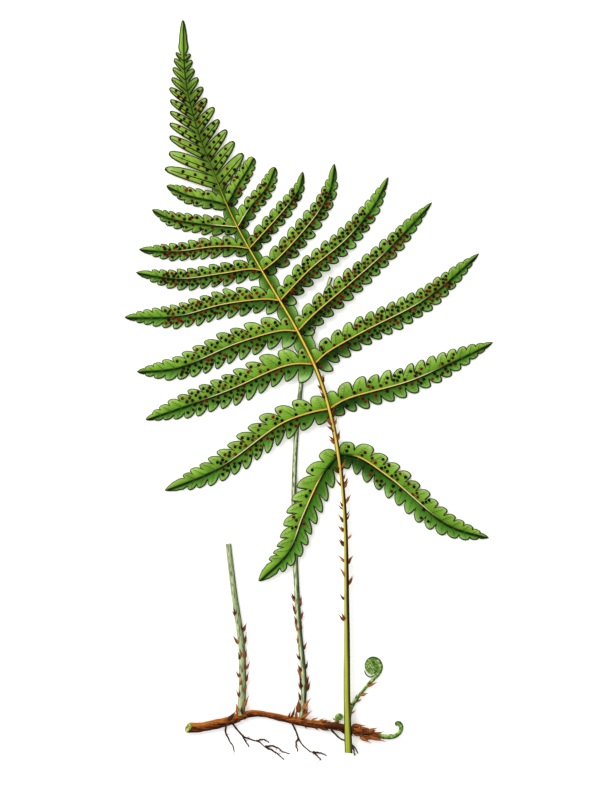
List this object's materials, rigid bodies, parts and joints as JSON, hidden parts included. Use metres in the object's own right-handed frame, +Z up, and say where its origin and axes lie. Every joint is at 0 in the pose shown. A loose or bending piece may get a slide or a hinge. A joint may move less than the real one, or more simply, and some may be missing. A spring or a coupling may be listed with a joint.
{
  "type": "long beech fern specimen",
  "caption": "Fern specimen laid flat: a fertile pinnate frond with its sori up, lying across its creeping rhizome with cut stipes, croziers and roots.",
  "frame": {"origin": "on the surface the specimen lies on, under the middle of its outline", "axes": "+Z up out of the surface, +Y along the frond towards the tip of its blade, +X to the right as the sori are looked down on"},
  "size_m": [0.1474, 0.2962, 0.0061],
  "materials": {
    "lamina": "soft matt green leaf",
    "straw_stem": "satin straw-coloured stem",
    "rhizome": "rough brown, fibrous",
    "grey_stem": "matt grey-green bloom",
    "young_stem": "soft matt green"
  },
  "bodies": {
    "root": {"frond_blade": "lamina", "frond_stalk": "straw_stem", "rhizome": "rhizome", "stipe_long": "grey_stem", "stipe_stub": "grey_stem", "crozier_tall": "young_stem", "crozier_bud": "young_stem", "crozier_tip": "young_stem"}
  },
  "joints": []
}
